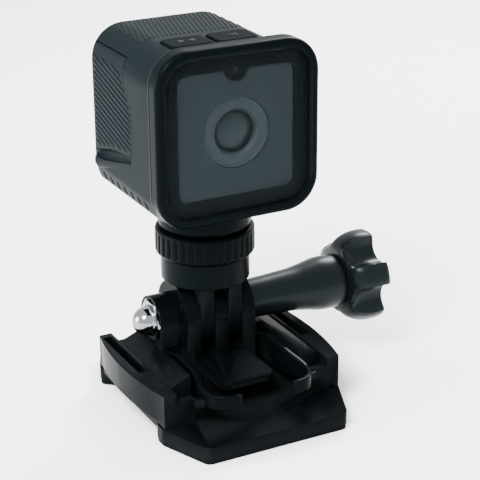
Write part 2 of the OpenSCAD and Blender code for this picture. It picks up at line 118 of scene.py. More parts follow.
MATS = {
    "mount_plastic": surface(
        "mount_plastic", (0.0005, 0.0010, 0.0012), (0.0013, 0.0021, 0.0025),
        0.18, 1800, 0.04, wear=0.06, swing=0.05, specular=0.013),
    "hinge_plastic": surface(
        "hinge_plastic", (0.0005, 0.0010, 0.0012), (0.0012, 0.0021, 0.0025),
        0.32, 2600, 0.10, wear=0.06, specular=0.020),
    "knob_plastic": surface(
        "knob_plastic", (0.0020, 0.0031, 0.0037), (0.0033, 0.0048, 0.0055),
        0.30, 2400, 0.12, wear=0.06, specular=0.09),
    "chrome": surface(
        "chrome", (0.15, 0.16, 0.165), (0.25, 0.26, 0.265),
        0.12, 900, 0.03, metal=1.0, swing=0.05),
    "steel": surface(
        "steel", (0.045, 0.048, 0.05), (0.085, 0.09, 0.093),
        0.38, 3000, 0.2, metal=1.0, stretch=(1, 6, 6)),
    "brass": surface(
        "brass", (0.24, 0.17, 0.07), (0.34, 0.26, 0.12),
        0.30, 2600, 0.12, metal=1.0),
    "soft_rubber": surface(
        "soft_rubber", (0.0010, 0.0012, 0.0014), (0.0026, 0.0030, 0.0033),
        0.80, 3500, 0.4, specular=0.05),
    "adhesive_foam": surface(
        "adhesive_foam", (0.0012, 0.0016, 0.0019), (0.0032, 0.0040, 0.0045),
        0.85, 4500, 0.7, specular=0.04),
    "housing_plastic": surface(
        "housing_plastic", (0.0028, 0.0046, 0.0055), (0.0042, 0.0066, 0.0078),
        0.36, 3200, 0.14, wear=0.05, specular=0.009),
    "bezel_plastic": surface(
        "bezel_plastic", (0.0006, 0.0013, 0.0016), (0.0012, 0.0022, 0.0027),
        0.32, 2600, 0.06, wear=0.05, specular=0.016),
    "key_rubber": surface(
        "key_rubber", (0.0010, 0.0021, 0.0025), (0.0018, 0.0034, 0.0039),
        0.45, 3000, 0.20, wear=0.06, specular=0.005),
    "cover_glass": surface(
        "cover_glass", (0.006, 0.009, 0.010), (0.008, 0.011, 0.012),
        0.12, 300, 0.0, alpha=0.08, swing=0.02, specular=0.2),
    "mask_ink": surface(
        "mask_ink", (0.0002, 0.0004, 0.0005), (0.0004, 0.0007, 0.0009),
        0.45, 1500, 0.0, specular=0.01),
    "fascia_plastic": surface(
        "fascia_plastic", (0.0085, 0.0118, 0.0134), (0.0105, 0.0144, 0.0162),
        0.60, 3200, 0.05, specular=0.04),
    "lens_black": surface(
        "lens_black", (0.0120, 0.0165, 0.0185), (0.0155, 0.0208, 0.0230),
        0.45, 2000, 0.05, specular=0.08),
    "lens_glass": surface(
        "lens_glass", (0.0070, 0.0100, 0.0115), (0.0090, 0.0125, 0.0142),
        0.12, 400, 0.0, alpha=0.94, swing=0.02, specular=0.12),
    "circuit_board": surface(
        "circuit_board", (0.006, 0.05, 0.025), (0.014, 0.09, 0.05),
        0.35, 1600, 0.3, patch=400),
    "battery_wrap": surface(
        "battery_wrap", (0.14, 0.15, 0.16), (0.20, 0.21, 0.22),
        0.36, 1500, 0.25, metal=0.8),
    "black_plastic": surface(
        "black_plastic", (0.0020, 0.0024, 0.0027), (0.0050, 0.0058, 0.0062),
        0.45, 2600, 0.3, wear=0.1, specular=0.08),
}
slot_of = {s["node"]: s["material_slot"] for s in frame["record"]["subparts"]}
for name, ob in NODES.items():
    ob.data.materials.clear()
    ob.data.materials.append(MATS[slot_of[name]])


# ---------- mesh helpers, all lengths in millimetres ----------

def finish_piece(name, bm, body, stands_for, slot=None, angle=32, weld=True):
    """Makes a piece from a mesh in millimetres. It rides on body and replaces the nodes in stands_for."""
    if weld:
        bmesh.ops.remove_doubles(bm, verts=bm.verts, dist=1e-4)
    bmesh.ops.recalc_face_normals(bm, faces=bm.faces)
    bmesh.ops.scale(bm, vec=(MM, MM, MM), verts=bm.verts)
    me = bpy.data.meshes.new(name)
    bm.to_mesh(me)
    bm.free()
    ob = bpy.data.objects.new(name, me)
    bpy.context.scene.collection.objects.link(ob)
    smooth(me, angle)
    mod = ob.modifiers.new("w", "WEIGHTED_NORMAL")
    mod.keep_sharp = True
    dg = bpy.context.evaluated_depsgraph_get()
    me = bpy.data.meshes.new_from_object(ob.evaluated_get(dg))
    ob.modifiers.clear()
    ob.data = me
    me.name = name
    slot = slot or slot_of[stands_for[0]]
    me.materials.append(MATS[slot])
    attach(ob, body)
    if stands_for:
        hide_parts(*stands_for)
    return ob


def smooth(me, angle):
    """Smooth shading, with edges sharper than angle kept crisp."""
    bm = bmesh.new()
    bm.from_mesh(me)
    lim = math.radians(angle)
    for f in bm.faces:
        f.smooth = True
    for e in bm.edges:
        e.smooth = len(e.link_faces) == 2 and e.calc_face_angle(0) < lim
    bm.to_mesh(me)
    bm.free()


def skin(bm, rings, closed=False, caps=True):
    """Joins rings of points with quads. closed joins the last ring back to the first."""
    vs = [[bm.verts.new(p) for p in r] for r in rings]
    n = len(vs[0])
    pairs = list(zip(vs, vs[1:])) + ([(vs[-1], vs[0])] if closed else [])
    for a, b in pairs:
        for i in range(n):
            j = (i + 1) % n
            bm.faces.new((a[i], a[j], b[j], b[i]))
    if caps and not closed:
        bm.faces.new(list(reversed(vs[0])))
        bm.faces.new(vs[-1])
    return bm


# Lower long edge of the body: in from the side, up from the base
LOWER_EDGE = [(0.0, 4.2), (0.22, 3.4), (0.45, 2.6), (0.68, 1.8), (0.85, 1.3), (0.98, 1.02), (1.14, 0.80),
              (1.35, 0.60), (1.6, 0.43), (1.95, 0.27), (2.35, 0.13), (2.8, 0.04), (3.3, 0.0)]


def corner_loop(half, z0, z1, rb, rt, y, n=12):
    """Outline in X and Z at depth y, corner radius rb below and rt above, LOWER_EDGE if rb is None."""
    pts = []
    if rb is None:
        pts += [(-half + u, y, z0 + v) for u, v in LOWER_EDGE]
        pts += [(half - u, y, z0 + v) for u, v in reversed(LOWER_EDGE)]
        for cx, a0 in ((half - rt, 0), (-half + rt, 90)):
            for i in range(n + 1):
                a = math.radians(a0 + 90 * i / n)
                pts.append((cx + rt * math.cos(a), y, z1 - rt + rt * math.sin(a)))
        return pts
    for cx, cz, r, a0 in ((-half + rb, z0 + rb, rb, 180), (half - rb, z0 + rb, rb, 270),
                          (half - rt, z1 - rt, rt, 0), (-half + rt, z1 - rt, rt, 90)):
        for i in range(n + 1):
            a = math.radians(a0 + 90 * i / n)
            pts.append((cx + r * math.cos(a), y, cz + r * math.sin(a)))
    return pts


def lathe(bm, profile, axis, centre, n=96, wave=None):
    """Turns (distance along axis, radius) pairs round an axis. wave(angle, k) scales ring k."""
    rings = []
    for k, (d, r) in enumerate(profile):
        ring = []
        for i in range(n):
            a = 2 * math.pi * i / n
            q = r * (wave(a, k) if wave else 1)
            u, v = q * math.cos(a), q * math.sin(a)
            p = {"x": (d, -v, u), "y": (u, d, v), "z": (u, v, d)}[axis]
            ring.append(tuple(p[c] + centre[c] for c in range(3)))
        rings.append(ring)
    return skin(bm, rings)


def edge_arc(x0, r0, x1, r1, n=5, out=True):
    """Quarter round from (x0, r0) to (x1, r1): the corner lies at (x0, r1) when out, else at (x1, r0)."""
    pts = []
    for i in range(n + 1):
        t = math.pi / 2 * i / n
        s, c = math.sin(t), 1 - math.cos(t)
        pts.append((x0 + (x1 - x0) * (c if out else s), r0 + (r1 - r0) * (s if out else c)))
    return pts


AXIS_R = 0.05


def disc_profile(z0, z1, r, e=0.5):
    """Side view of a disc with rounded edges, starting and ending just off its axis."""
    lower = edge_arc(z0, r - e, z0 + e, r)[1:]
    upper = edge_arc(z1 - e, r, z1, r - e, out=False)[1:]
    return [(z0, AXIS_R), (z0, r - e)] + lower + upper + [(z1, AXIS_R)]


def prism(bm, outline, axis, a0, a1, fillet=0.0, n=3):
    """Extrudes a 2D outline along an axis, with its end edges rounded by fillet."""
    pts = [Vector(p) for p in outline]
    area = sum(p.x * q.y - q.x * p.y for p, q in zip(pts, pts[1:] + pts[:1]))
    if area < 0:
        pts.reverse()

    def inset(d):
        out = []
        for i, p in enumerate(pts):
            a, b = pts[i - 1], pts[(i + 1) % len(pts)]
            e1, e2 = (p - a).normalized(), (b - p).normalized()
            n1, n2 = Vector((-e1.y, e1.x)), Vector((-e2.y, e2.x))
            m = (n1 + n2).normalized()
            out.append(p + m * (d / max(0.4, m.dot(n1))))
        return out

    levels = [(a0, 0.0), (a1, 0.0)]
    if fillet:
        arc = [(fillet * (1 - math.sin(t)), fillet * (1 - math.cos(t)))
               for t in [math.pi / 2 * i / n for i in range(n, -1, -1)]]
        levels = [(a0 + u, d) for u, d in arc] + [(a1 - u, d) for u, d in reversed(arc)]
    rings = []
    for a, d in levels:
        rings.append([{"x": (a, p.x, p.y), "y": (p.x, a, p.y), "z": (p.x, p.y, a)}[axis] for p in inset(d)])
    return skin(bm, rings)


def round_rect(w, h, r, cx=0.0, cy=0.0, n=6):
    """Outline of a rectangle with rounded corners."""
    pts = []
    for sx, sy, a0 in ((1, 1, 0), (-1, 1, 90), (-1, -1, 180), (1, -1, 270)):
        for i in range(n + 1):
            a = math.radians(a0 + 90 * i / n)
            pts.append((cx + sx * (w / 2 - r) + r * math.cos(a), cy + sy * (h / 2 - r) + r * math.sin(a)))
    return pts


def solid_from(build, *args, move=None):
    """A new solid made by one of the builders above, then placed by move."""
    bm = bmesh.new()
    build(bm, *args)
    if move:
        bm.transform(move)
    return bm


def scratch(bm):
    """A temporary object used by booleans."""
    bmesh.ops.recalc_face_normals(bm, faces=bm.faces)
    me = bpy.data.meshes.new("scratch")
    bm.to_mesh(me)
    bm.free()
    ob = bpy.data.objects.new("scratch", me)
    bpy.context.scene.collection.objects.link(ob)
    return ob


def carve(bm, steps):
    """Applies (operation, cutter) booleans and returns the result as bmesh."""
    base = scratch(bm)
    for op, cutter in steps:
        c = scratch(cutter)
        mod = base.modifiers.new("b", "BOOLEAN")
        mod.operation, mod.solver, mod.object = op, "EXACT", c
        dg = bpy.context.evaluated_depsgraph_get()
        me = bpy.data.meshes.new_from_object(base.evaluated_get(dg))
        base.modifiers.clear()
        base.data = me
        bpy.data.objects.remove(c)
    out = bmesh.new()
    out.from_mesh(base.data)
    bpy.data.objects.remove(base)
    return out


BEVEL_SCALE = 0.1


def refine(name, body, width, segments=3, angle=28):
    """A copy of a CAD node with its faces merged and every edge rounded."""
    bm = bmesh.new()
    bm.from_mesh(NODES[name].data)
    bmesh.ops.scale(bm, vec=(1 / MM,) * 3, verts=bm.verts)
    bmesh.ops.remove_doubles(bm, verts=bm.verts, dist=1e-3)
    bmesh.ops.dissolve_limit(bm, angle_limit=math.radians(2), verts=bm.verts, edges=bm.edges)
    bmesh.ops.scale(bm, vec=(BEVEL_SCALE,) * 3, verts=bm.verts)
    ob = scratch(bm)
    mod = ob.modifiers.new("r", "BEVEL")
    mod.width, mod.segments, mod.limit_method = width * BEVEL_SCALE, segments, "ANGLE"
    mod.angle_limit = math.radians(angle)
    mod.use_clamp_overlap = True
    mod.miter_outer = "MITER_ARC"
    dg = bpy.context.evaluated_depsgraph_get()
    me = bpy.data.meshes.new_from_object(ob.evaluated_get(dg))
    bpy.data.objects.remove(ob)
    out = bmesh.new()
    out.from_mesh(me)
    bmesh.ops.scale(out, vec=(1 / BEVEL_SCALE,) * 3, verts=out.verts)
    return finish_piece(name + "_moulding", out, body, [name], weld=False)


# ---------- camera body ----------

B0, B1 = mm_box("bezel")
half_bezel = B1[0]
bez_z0, bez_z1 = B0[2], B1[2]
cam_z = (bez_z0 + bez_z1) / 2
side_x = mm_box("side_door")[0][0]
half = -side_x
rear = mm_box("housing")[1][1]
BASE_STEP, KEY_RISE, FLARE_LEN = 0.04, 0.45, 3.0
base_z = bez_z0 + BASE_STEP
top_z = mm_box("button_left")[1][2] - KEY_RISE
R_TOP, R_BEZ, WALL = 7.0, 7.0, 2.2
COVER_LIP, COVER_SHELF, COVER_SINK, SHELF_SINK = 2.6, 4.4, 1.9, 2.7
REAR_ROUND = 1.3
seam_y = B1[1]
flare_y = seam_y + FLARE_LEN


def body_loop(inset, y):
    """Outline of the body at depth y, moved inwards by inset."""
    lower_r = None if inset < 2 else 1.6
    return corner_loop(half - inset, base_z + inset, top_z - inset, lower_r, R_TOP - inset, y)


def flare_loop(t, y):
    """Between the bezel outline (t = 0) and the body outline (t = 1)."""
    a = corner_loop(half_bezel, bez_z0, bez_z1, R_BEZ, R_BEZ, y)
    b = body_loop(0, y)
    return [tuple(p[c] + (q[c] - p[c]) * t for c in range(3)) for p, q in zip(a, b)]


def outer_body_rings():
    """Outside of the body from the seam back: the flare, then the rounded rear edge."""
    rim = seam_y + 0.5
    rings = [flare_loop(0.10, seam_y + 0.02), flare_loop(0.0, seam_y + 0.15), flare_loop(0.0, rim)]
    for i in range(1, 9):
        t = i / 8
        rings.append(flare_loop((1 - math.cos(math.pi * t)) / 2, rim + (flare_y - rim) * t))
    for i in range(7):
        a = math.pi / 2 * i / 6
        depth = rear - REAR_ROUND + REAR_ROUND * math.sin(a)
        rings.append(body_loop(REAR_ROUND * (1 - math.cos(a)), depth))
    return rings


# Side door in Y and Z, from its top front corner round to its top rear corner
door_pts = [(3.3, 71.7), (3.3, 68.0), (1.8, 65.3), (-0.1, 62.8), (-0.4, 59.8), (-0.4, 53.2),
            (2.9, 52.7), (9.4, 52.0), (14.7, 50.5), (18.6, 49.5), (18.6, 71.7)]


def soften(pts, first, last):
    """Cuts the corners of a run of an outline twice, so that it reads as one curve."""
    run = pts[first:last + 1]
    for _ in range(2):
        out = [run[0]]
        for (x0, y0), (x1, y1) in zip(run, run[1:]):
            out += [(x0 + t * (x1 - x0), y0 + t * (y1 - y0)) for t in (0.25, 0.75)]
        run = out + [run[-1]]
    return pts[:first] + run + pts[last + 1:]


door_pts = soften(door_pts, 0, 9)


def grow_outline(pts, d):
    """Moves every side of an outline outwards by d."""
    vs = [Vector(p) for p in pts]
    if sum(p.x * q.y - q.x * p.y for p, q in zip(vs, vs[1:] + vs[:1])) < 0:
        vs.reverse()
    out = []
    for i, p in enumerate(vs):
        a, b = vs[i - 1], vs[(i + 1) % len(vs)]
        e1, e2 = (p - a).normalized(), (b - p).normalized()
        n1, n2 = Vector((e1.y, -e1.x)), Vector((e2.y, -e2.x))
        m = (n1 + n2).normalized()
        out.append(tuple(p + m * (d / max(0.4, m.dot(n1)))))
    return out


DOOR_T, DOOR_GAP, BARREL_R, RELIEF_R = 1.4, 0.16, 1.2, 1.6
OUTSIDE = 2
hinge_x, hinge_z = side_x + 1.7, top_z - 4.6
SCOOP_R = 1.3
LIP_FRONT, LIP_REAR, LIP_LEN, LIP_OUT = 1.0, 2.0, 18.8, 0.9
QUARTER = [math.radians(d) for d in range(0, 91, 15)]
KEYS = {n: mm_box(n) for n in ("button_left", "button_right")}
key_centre = {n: ((k[0][0] + k[1][0]) / 2, (k[0][1] + k[1][1]) / 2) for n, k in KEYS.items()}
SLOTS, SLOT_PITCH = 7, 3.4


def scoop_axis(dx, z):
    """Places a shape turned about Z along the sloping lower edge of the door."""
    return Matrix.Translation((side_x + dx, 0.2, z)) @ Matrix.Rotation(math.radians(-101.5), 4, "X")


def box_y(x0, x1, z0, z1, y0, y1):
    """Rectangular block between two corners."""
    return solid_from(prism, [(x0, z0), (x1, z0), (x1, z1), (x0, z1)], "y", y0, y1)


def raised_lip():
    """Rounded lip under the finger notch, cut off before the inside of the wall."""
    ends = [(LIP_FRONT * (1 - math.cos(a)), max(LIP_FRONT * math.sin(a), 0.03)) for a in QUARTER]
    ends += [(LIP_LEN - LIP_REAR * (1 - math.cos(a)), max(LIP_REAR * math.sin(a), 0.03))
             for a in reversed(QUARTER)]
    bar = solid_from(lathe, ends, "z", (0, 0, 0), 64, move=scoop_axis(LIP_REAR - LIP_OUT, 50.9))
    return carve(bar, [("INTERSECT", box_y(side_x - 3, side_x + 1.8, 40, 60, -10, 30))])


def slot_cutter(i):
    """Slot i of the row in the lower left edge."""
    turn = Matrix.Rotation(math.radians(74), 4, "Y") @ Matrix.Rotation(math.radians(-25), 4, "Z")
    place = Matrix.Translation((-15.25, -5.2 + SLOT_PITCH * i, 44.35))
    return solid_from(prism, round_rect(1.9, 0.9, 0.43, 0, 0, 4), "z", -1.6, 3.4, move=place @ turn)


def housing_cuts():
    """Door recess, port opening, hinge relief, raised lip, finger notch, key openings and slots."""
    recess = grow_outline(door_pts, DOOR_GAP)
    opening = [(1.2, 51.5), (16.6, 51.5), (16.6, hinge_z - 1.3), (4.9, hinge_z - 1.3), (4.9, 67), (1.2, 61)]
    groove = [(0.0, 0.3)] + [(SCOOP_R * math.sin(a), SCOOP_R) for a in (0.35, 0.9)]
    groove += [(4, SCOOP_R), (12.2, SCOOP_R), (15.4, SCOOP_R - 0.3), (16.8, 0.5)]
    hinge = (hinge_x, 0, hinge_z)
    cuts = [("DIFFERENCE", solid_from(prism, recess, "x", side_x - OUTSIDE, side_x + DOOR_T)),
            ("DIFFERENCE", solid_from(prism, opening, "x", side_x + 1, side_x + 2.8)),
            ("DIFFERENCE", solid_from(lathe, [(3.0, RELIEF_R), (18.7, RELIEF_R)], "y", hinge, 40)),
            ("UNION", raised_lip()),
            ("DIFFERENCE", solid_from(lathe, groove, "z", (0, 0, 0), 40, move=scoop_axis(-0.45, 52.6)))]
    for centre in key_centre.values():
        hole = round_rect(9.2, 7.1, 1.3, *centre)
        cuts.append(("DIFFERENCE", solid_from(prism, hole, "z", top_z - 4, top_z + 3)))
    return cuts + [("DIFFERENCE", slot_cutter(i)) for i in range(SLOTS)]


inner_rings = [body_loop(COVER_LIP, rear), body_loop(COVER_LIP, rear - COVER_SINK),
               body_loop(COVER_SHELF, rear - COVER_SINK), body_loop(COVER_SHELF, rear - SHELF_SINK),
               body_loop(WALL, rear - SHELF_SINK), body_loop(WALL, seam_y + 0.02)]
shell = bmesh.new()
skin(shell, outer_body_rings() + inner_rings, closed=True)
finish_piece("housing_shell", carve(shell, housing_cuts()), "camera", ["housing"])

# Side door, cut from the same body so that it lies flush
FLARE_RINGS = 11
solid = bmesh.new()
skin(solid, [body_loop(0, seam_y)] + outer_body_rings()[FLARE_RINGS:])
barrel = [(3.35, BARREL_R), (18.55, BARREL_R)]
steps = [("INTERSECT", solid_from(prism, door_pts, "x", side_x - OUTSIDE, side_x + DOOR_T)),
         ("DIFFERENCE", box_y(side_x - 3, -8, hinge_z, 80, 0, 30)),
         ("UNION", solid_from(lathe, barrel, "y", (hinge_x, 0, hinge_z), 48))]
finish_piece("door_leaf", carve(solid, steps), "door", ["side_door"])


def surface_point(z, side=-1):
    """Point and outward normal of the body's side or rounded top edge at height z."""
    cz, cx = top_z - R_TOP, half - R_TOP
    if z <= cz:
        return side * half, side * 1.0, 0.0
    a = math.asin(min(1.0, (z - cz) / R_TOP))
    return side * (cx + R_TOP * math.cos(a)), side * math.cos(a), math.sin(a)


def inside(pt, poly):
    """Whether a point lies inside a closed outline."""
    hit = False
    for (x0, y0), (x1, y1) in zip(poly, poly[1:] + poly[:1]):
        if (y0 > pt[1]) != (y1 > pt[1]) and pt[0] < (x1 - x0) * (pt[1] - y0) / (y1 - y0) + x0:
            hit = not hit
    return hit


RIDGE_SECTION = [math.radians(d) for d in (0, 30, 60, 90, 120, 150, 180, 225, 315)]
RIB_SLOPE, TOP_RIB_PITCH = 0.27, 0.95


def ridge(bm, path, width, height):
    """Rounded ridge along (point, normal, across) stations, lower and narrower at both ends."""
    rings = []
    for k, (p, nrm, across) in enumerate(path):
        f = 0.12 if k in (0, len(path) - 1) else 1.0
        ring = []
        for a in RIDGE_SECTION:
            sideways = across * (width / 2 * math.cos(a)) * (0.6 + 0.4 * f)
            ring.append(tuple(p + sideways + nrm * (height * f * max(math.sin(a), -0.4))))
        rings.append(ring)
    skin(bm, rings)


def side_ribs(bm, outline, side, pitch=1.2, slope=RIB_SLOPE):
    """Sloping ridges over the part of one side that lies inside an outline in Y and Z."""
    for k in range(-12, 40):
        path = []
        for i in range(0, 64):
            y = -0.6 + 0.32 * i
            z = 50 + pitch * k - slope * (rear - y) + slope * 12
            if not inside((y, z), outline):
                if len(path) > 2:
                    break
                path = []
                continue
            x, nx, nz = surface_point(z, side)
            nrm = Vector((nx, 0, nz))
            along = Vector((0, 1, slope)).normalized()
            path.append((Vector((x, y, z)), nrm, nrm.cross(along).normalized()))
        if len(path) > 3:
            ridge(bm, path, pitch * 0.6, 0.17)


def top_ribs(bm):
    """Sloping ridges across the top, running down over its rounded long edges."""
    for k in range(-16, 18):
        path = []
        for i in range(48):
            y = 3.2 + 0.33 * i
            x = TOP_RIB_PITCH * k + RIB_SLOPE * (y - 10)
            if abs(x) > 11.6 or y > 18.2:
                if len(path) > 2:
                    break
                path = []
                continue
            past_flat = abs(x) - half + R_TOP
            z = top_z
            if abs(x) > half - R_TOP:
                z = top_z - R_TOP + math.sqrt(R_TOP ** 2 - past_flat ** 2)
            nrm = Vector((math.copysign(max(0, past_flat) / R_TOP, x), 0, 1)).normalized()
            across = nrm.cross(Vector((RIB_SLOPE, 1, 0)).normalized()).normalized()
            path.append((Vector((x, y, z)), nrm, across))
        if len(path) > 10:
            ridge(bm, path, 0.59, 0.15)


door_top = hinge_z - 1.1
door_field = [(3.9, door_top), (3.9, 67.9), (2.4, 65.1), (0.5, 62.6), (0.2, 59.8), (0.2, 53.8),
              (2.9, 53.3), (9.4, 52.6), (14.7, 51.1), (18.0, 50.3), (18.0, door_top)]
ribs = solid_from(side_ribs, door_field, -1)
finish_piece("door_ribs", ribs, "door", [], "housing_plastic", 60)
ribs = solid_from(side_ribs, [(3.0, 72.0), (0.2, 62), (0.2, 53.8), (18.0, 50.3), (18.0, 72.0)], 1)
top_ribs(ribs)
finish_piece("body_ribs", ribs, "camera", [], "housing_plastic", 60)

# Rear cover with its four recessed screws
refine("rear_cover", "camera", 0.3)
S0, S1 = mm_box("cover_screws")
HEAD_R, SOCKET_R, HEAD_INSET = 1.38, 0.72, 1.4
face = S1[1]
head_profile = [(S0[1], 0.75), (face - 1.0, 0.75), (face - 0.95, 1.1), (face - 0.6, HEAD_R),
                (face - 0.3, HEAD_R), (face - 0.12, HEAD_R - 0.14), (face, HEAD_R - 0.45)]
socket_profile = [(face - 0.6, SOCKET_R), (face + 0.4, SOCKET_R)]
heads = bmesh.new()
for sx in (-1, 1):
    for z, sink in ((S1[2] - HEAD_INSET, 0.0), (S0[2] + HEAD_INSET, 0.9)):
        at = (sx * (S1[0] - HEAD_INSET - sink), 0, z)
        head = solid_from(lathe, head_profile, "y", at, 40)
        head = carve(head, [("DIFFERENCE", solid_from(lathe, socket_profile, "y", at, 6))])
        me = bpy.data.meshes.new("head")
        head.to_mesh(me)
        head.free()
        heads.from_mesh(me)
        bpy.data.meshes.remove(me)
finish_piece("cover_screw_heads", heads, "camera", ["cover_screws"])
ribs = bmesh.new()
for k in range(-9, 10):
    path = []
    for i in range(12):
        at = Vector((TOP_RIB_PITCH * k, rear, 50.5 + 1.5 * i))
        path.append((at, Vector((0, 1, 0)), Vector((1, 0, 0))))
    ridge(ribs, path, 0.59, 0.15)
finish_piece("rear_cover_ribs", ribs, "camera", [], "housing_plastic", 60)

# Keys with rounded tops and raised generic symbols
for n, body in (("button_left", "key_left"), ("button_right", "key_right")):
    (x0, y0, z0), (x1, y1, z1) = KEYS[n]
    cx, cy = key_centre[n]
    bm = bmesh.new()
    prism(bm, round_rect(8.7, 6.6, 1.0, cx, cy, 8), "z", z0 + 1.4, z1, 0.32, 4)
    prism(bm, round_rect(9.6, 7.5, 1.3, cx, cy, 6), "z", z0 + 0.4, z0 + 1.4, 0.1, 2)
    lathe(bm, [(z0, 0.9), (z0 + 0.5, 0.9)], "z", (cx, cy, 0), 24)
    finish_piece(n + "_cap", bm, body, [n])
    if n == "button_left":
        marks = [[(cx + s * 0.25, cy), (cx + s * 1.7, cy + 0.95), (cx + s * 1.7, cy - 0.95)]
                 for s in (-1, 1)]
    else:
        marks = [round_rect(0.42, w, 0.15, cx - 0.8 + 0.8 * j, cy, 4)
                 for j, w in enumerate((0.5, 1.1, 1.7))]
    bm = bmesh.new()
    for mark in marks:
        prism(bm, mark, "z", z1 - 0.05, z1 + 0.09, 0.03, 2)
    finish_piece(n + "_symbol", bm, body, [], "fascia_plastic")

# ---------- front ----------

front_y = B0[1]
G0, G1 = mm_box("front_glass")
lip = G0[1]


def bez(inset_w, y, r):
    """Outline of the front frame at depth y, moved inwards by inset_w."""
    return corner_loop(half_bezel - inset_w, bez_z0 + inset_w, bez_z1 - inset_w, r, r, y, 16)


FRONT_ROUND = 1.1
rings = [bez(0.12, seam_y - 0.02, 6.9), bez(0, seam_y - 0.15, 7.0)]
for i in range(7):
    a = math.pi / 2 * i / 6
    step = FRONT_ROUND * (1 - math.cos(a))
    rings.append(bez(step, front_y + FRONT_ROUND - FRONT_ROUND * math.sin(a), R_BEZ - step))
rings += [bez(1.55, front_y, 5.7), bez(1.78, front_y + 0.08, 5.5), bez(1.92, front_y + 0.28, 5.3),
          bez(2.0, lip + 0.02, 5.2), bez(1.45, lip + 0.03, 5.75), bez(1.45, seam_y - 0.02, 5.75)]
bm = bmesh.new()
skin(bm, rings, closed=True)
finish_piece("bezel_frame", bm, "camera", ["bezel"])

gw, gh = G1[0], (G1[2] - G0[2]) / 2
pane_steps = [(0.2, lip), (0.05, lip + 0.06), (0, lip + 0.2), (0, G1[1] - 0.18), (0.15, G1[1] - 0.04)]
pane = solid_from(skin, [corner_loop(gw - d, cam_z - gh + d, cam_z + gh - d, 5.7 - d, 5.7 - d, y, 16)
                         for d, y in pane_steps])
finish_piece("cover_glass_pane", pane, "camera", ["front_glass"])

L0, L1 = mm_box("lens_ring")
f0 = L0[1]
prof = [(L1[1], 5.0), (L1[1], 7.0), (f0 + 0.15, 7.0), (f0, 6.85), (f0, 6.6), (f0 + 0.14, 6.4),
        (f0 + 0.14, 4.75), (f0 + 0.3, 4.55), (f0 + 0.6, 4.35), (f0 + 1.1, 4.25), (f0 + 1.1, 5.0)]
turn = [2 * math.pi * i / 96 for i in range(96)]
bm = bmesh.new()
skin(bm, [[(r * math.cos(a), d, cam_z + r * math.sin(a)) for a in turn] for d, r in prof], closed=True)
finish_piece("lens_trim", bm, "camera", ["lens_ring"])
O0, O1 = mm_box("front_lens")
DOME_R = 6.85
dome = [(O1[1], AXIS_R), (O1[1], 4.7), (O0[1] + 1.7, 4.7), (O0[1] + 1.5, 4.1)]
for i in range(9):
    a = math.radians(33 * (1 - i / 8))
    dome.append((O0[1] + DOME_R * (1 - math.cos(a)), max(DOME_R * math.sin(a), 0.03)))
lens = solid_from(lathe, dome, "y", (0, 0, cam_z), 72)
finish_piece("front_lens_element", lens, "camera", ["front_lens"])

# ---------- adapter ----------

for n, e in (("clamp_disc", 0.7), ("rubber_pad", 0.3)):
    A0, A1 = mm_box(n)
    disc = solid_from(lathe, disc_profile(A0[2], A1[2], A1[0], e), "z", (0, 0, 0))
    finish_piece(n + "_turned", disc, "adapter", [n])
A0, A1 = mm_box("lock_ring")
rr = A1[0] - 0.02
prof = [(A0[2], 3.3), (A0[2], rr - 0.7)]
prof += edge_arc(A0[2], rr - 0.7, A0[2] + 0.7, rr)[1:] + [(A0[2] + 1.0, rr), (A1[2] - 1.0, rr)]
prof += edge_arc(A1[2] - 0.7, rr, A1[2], rr - 0.7, out=False) + [(A1[2], 3.3)]
mid = [k for k, (d, r) in enumerate(prof) if r == rr and A0[2] + 0.9 < d < A1[2] - 0.9]


def knurl(a, k):
    """Radius factor at angle a for profile point k: shallow grooves in the middle of the rim."""
    return 1 - (0.035 * max(0.0, math.cos(36 * a)) ** 2 if k in mid else 0.0)


ring = solid_from(lathe, prof, "z", (0, 0, 0), 288, knurl)
finish_piece("lock_ring_knurled", ring, "ring", ["lock_ring"], angle=50)
refine("adapter_fork", "adapter", 0.45)

# ---------- mount ----------

refine("mount_base", "mount", 0.35)
refine("buckle", "mount", 0.4)
refine("adhesive_pad", "mount", 0.15)
# Centre line of the right arm, from its root to its tip, and its upper and lower edges by Y
ARM = [(10.3, -5.9), (10.3, -10), (10.3, -14), (10.7, -17), (11.3, -20), (11.4, -22),
       (11.1, -23.8), (10.3, -25.2), (9.0, -26.3), (7.4, -26.8), (5.8, -26.9)]
ARM_TOP = [(-4, 12.25), (-15, 12.25), (-22, 11), (-30, 11)]
ARM_UNDER = [(-4, 6.55), (-15, 6.55), (-20, 7.5), (-30, 8.3)]


def along(table, y):
    """Value at y between the rows of a table that runs towards smaller y."""
    for (y0, v0), (y1, v1) in zip(table, table[1:]):
        if y1 <= y <= y0:
            return v0 + (v1 - v0) * (y0 - y) / (y0 - y1)
    return table[-1][1]


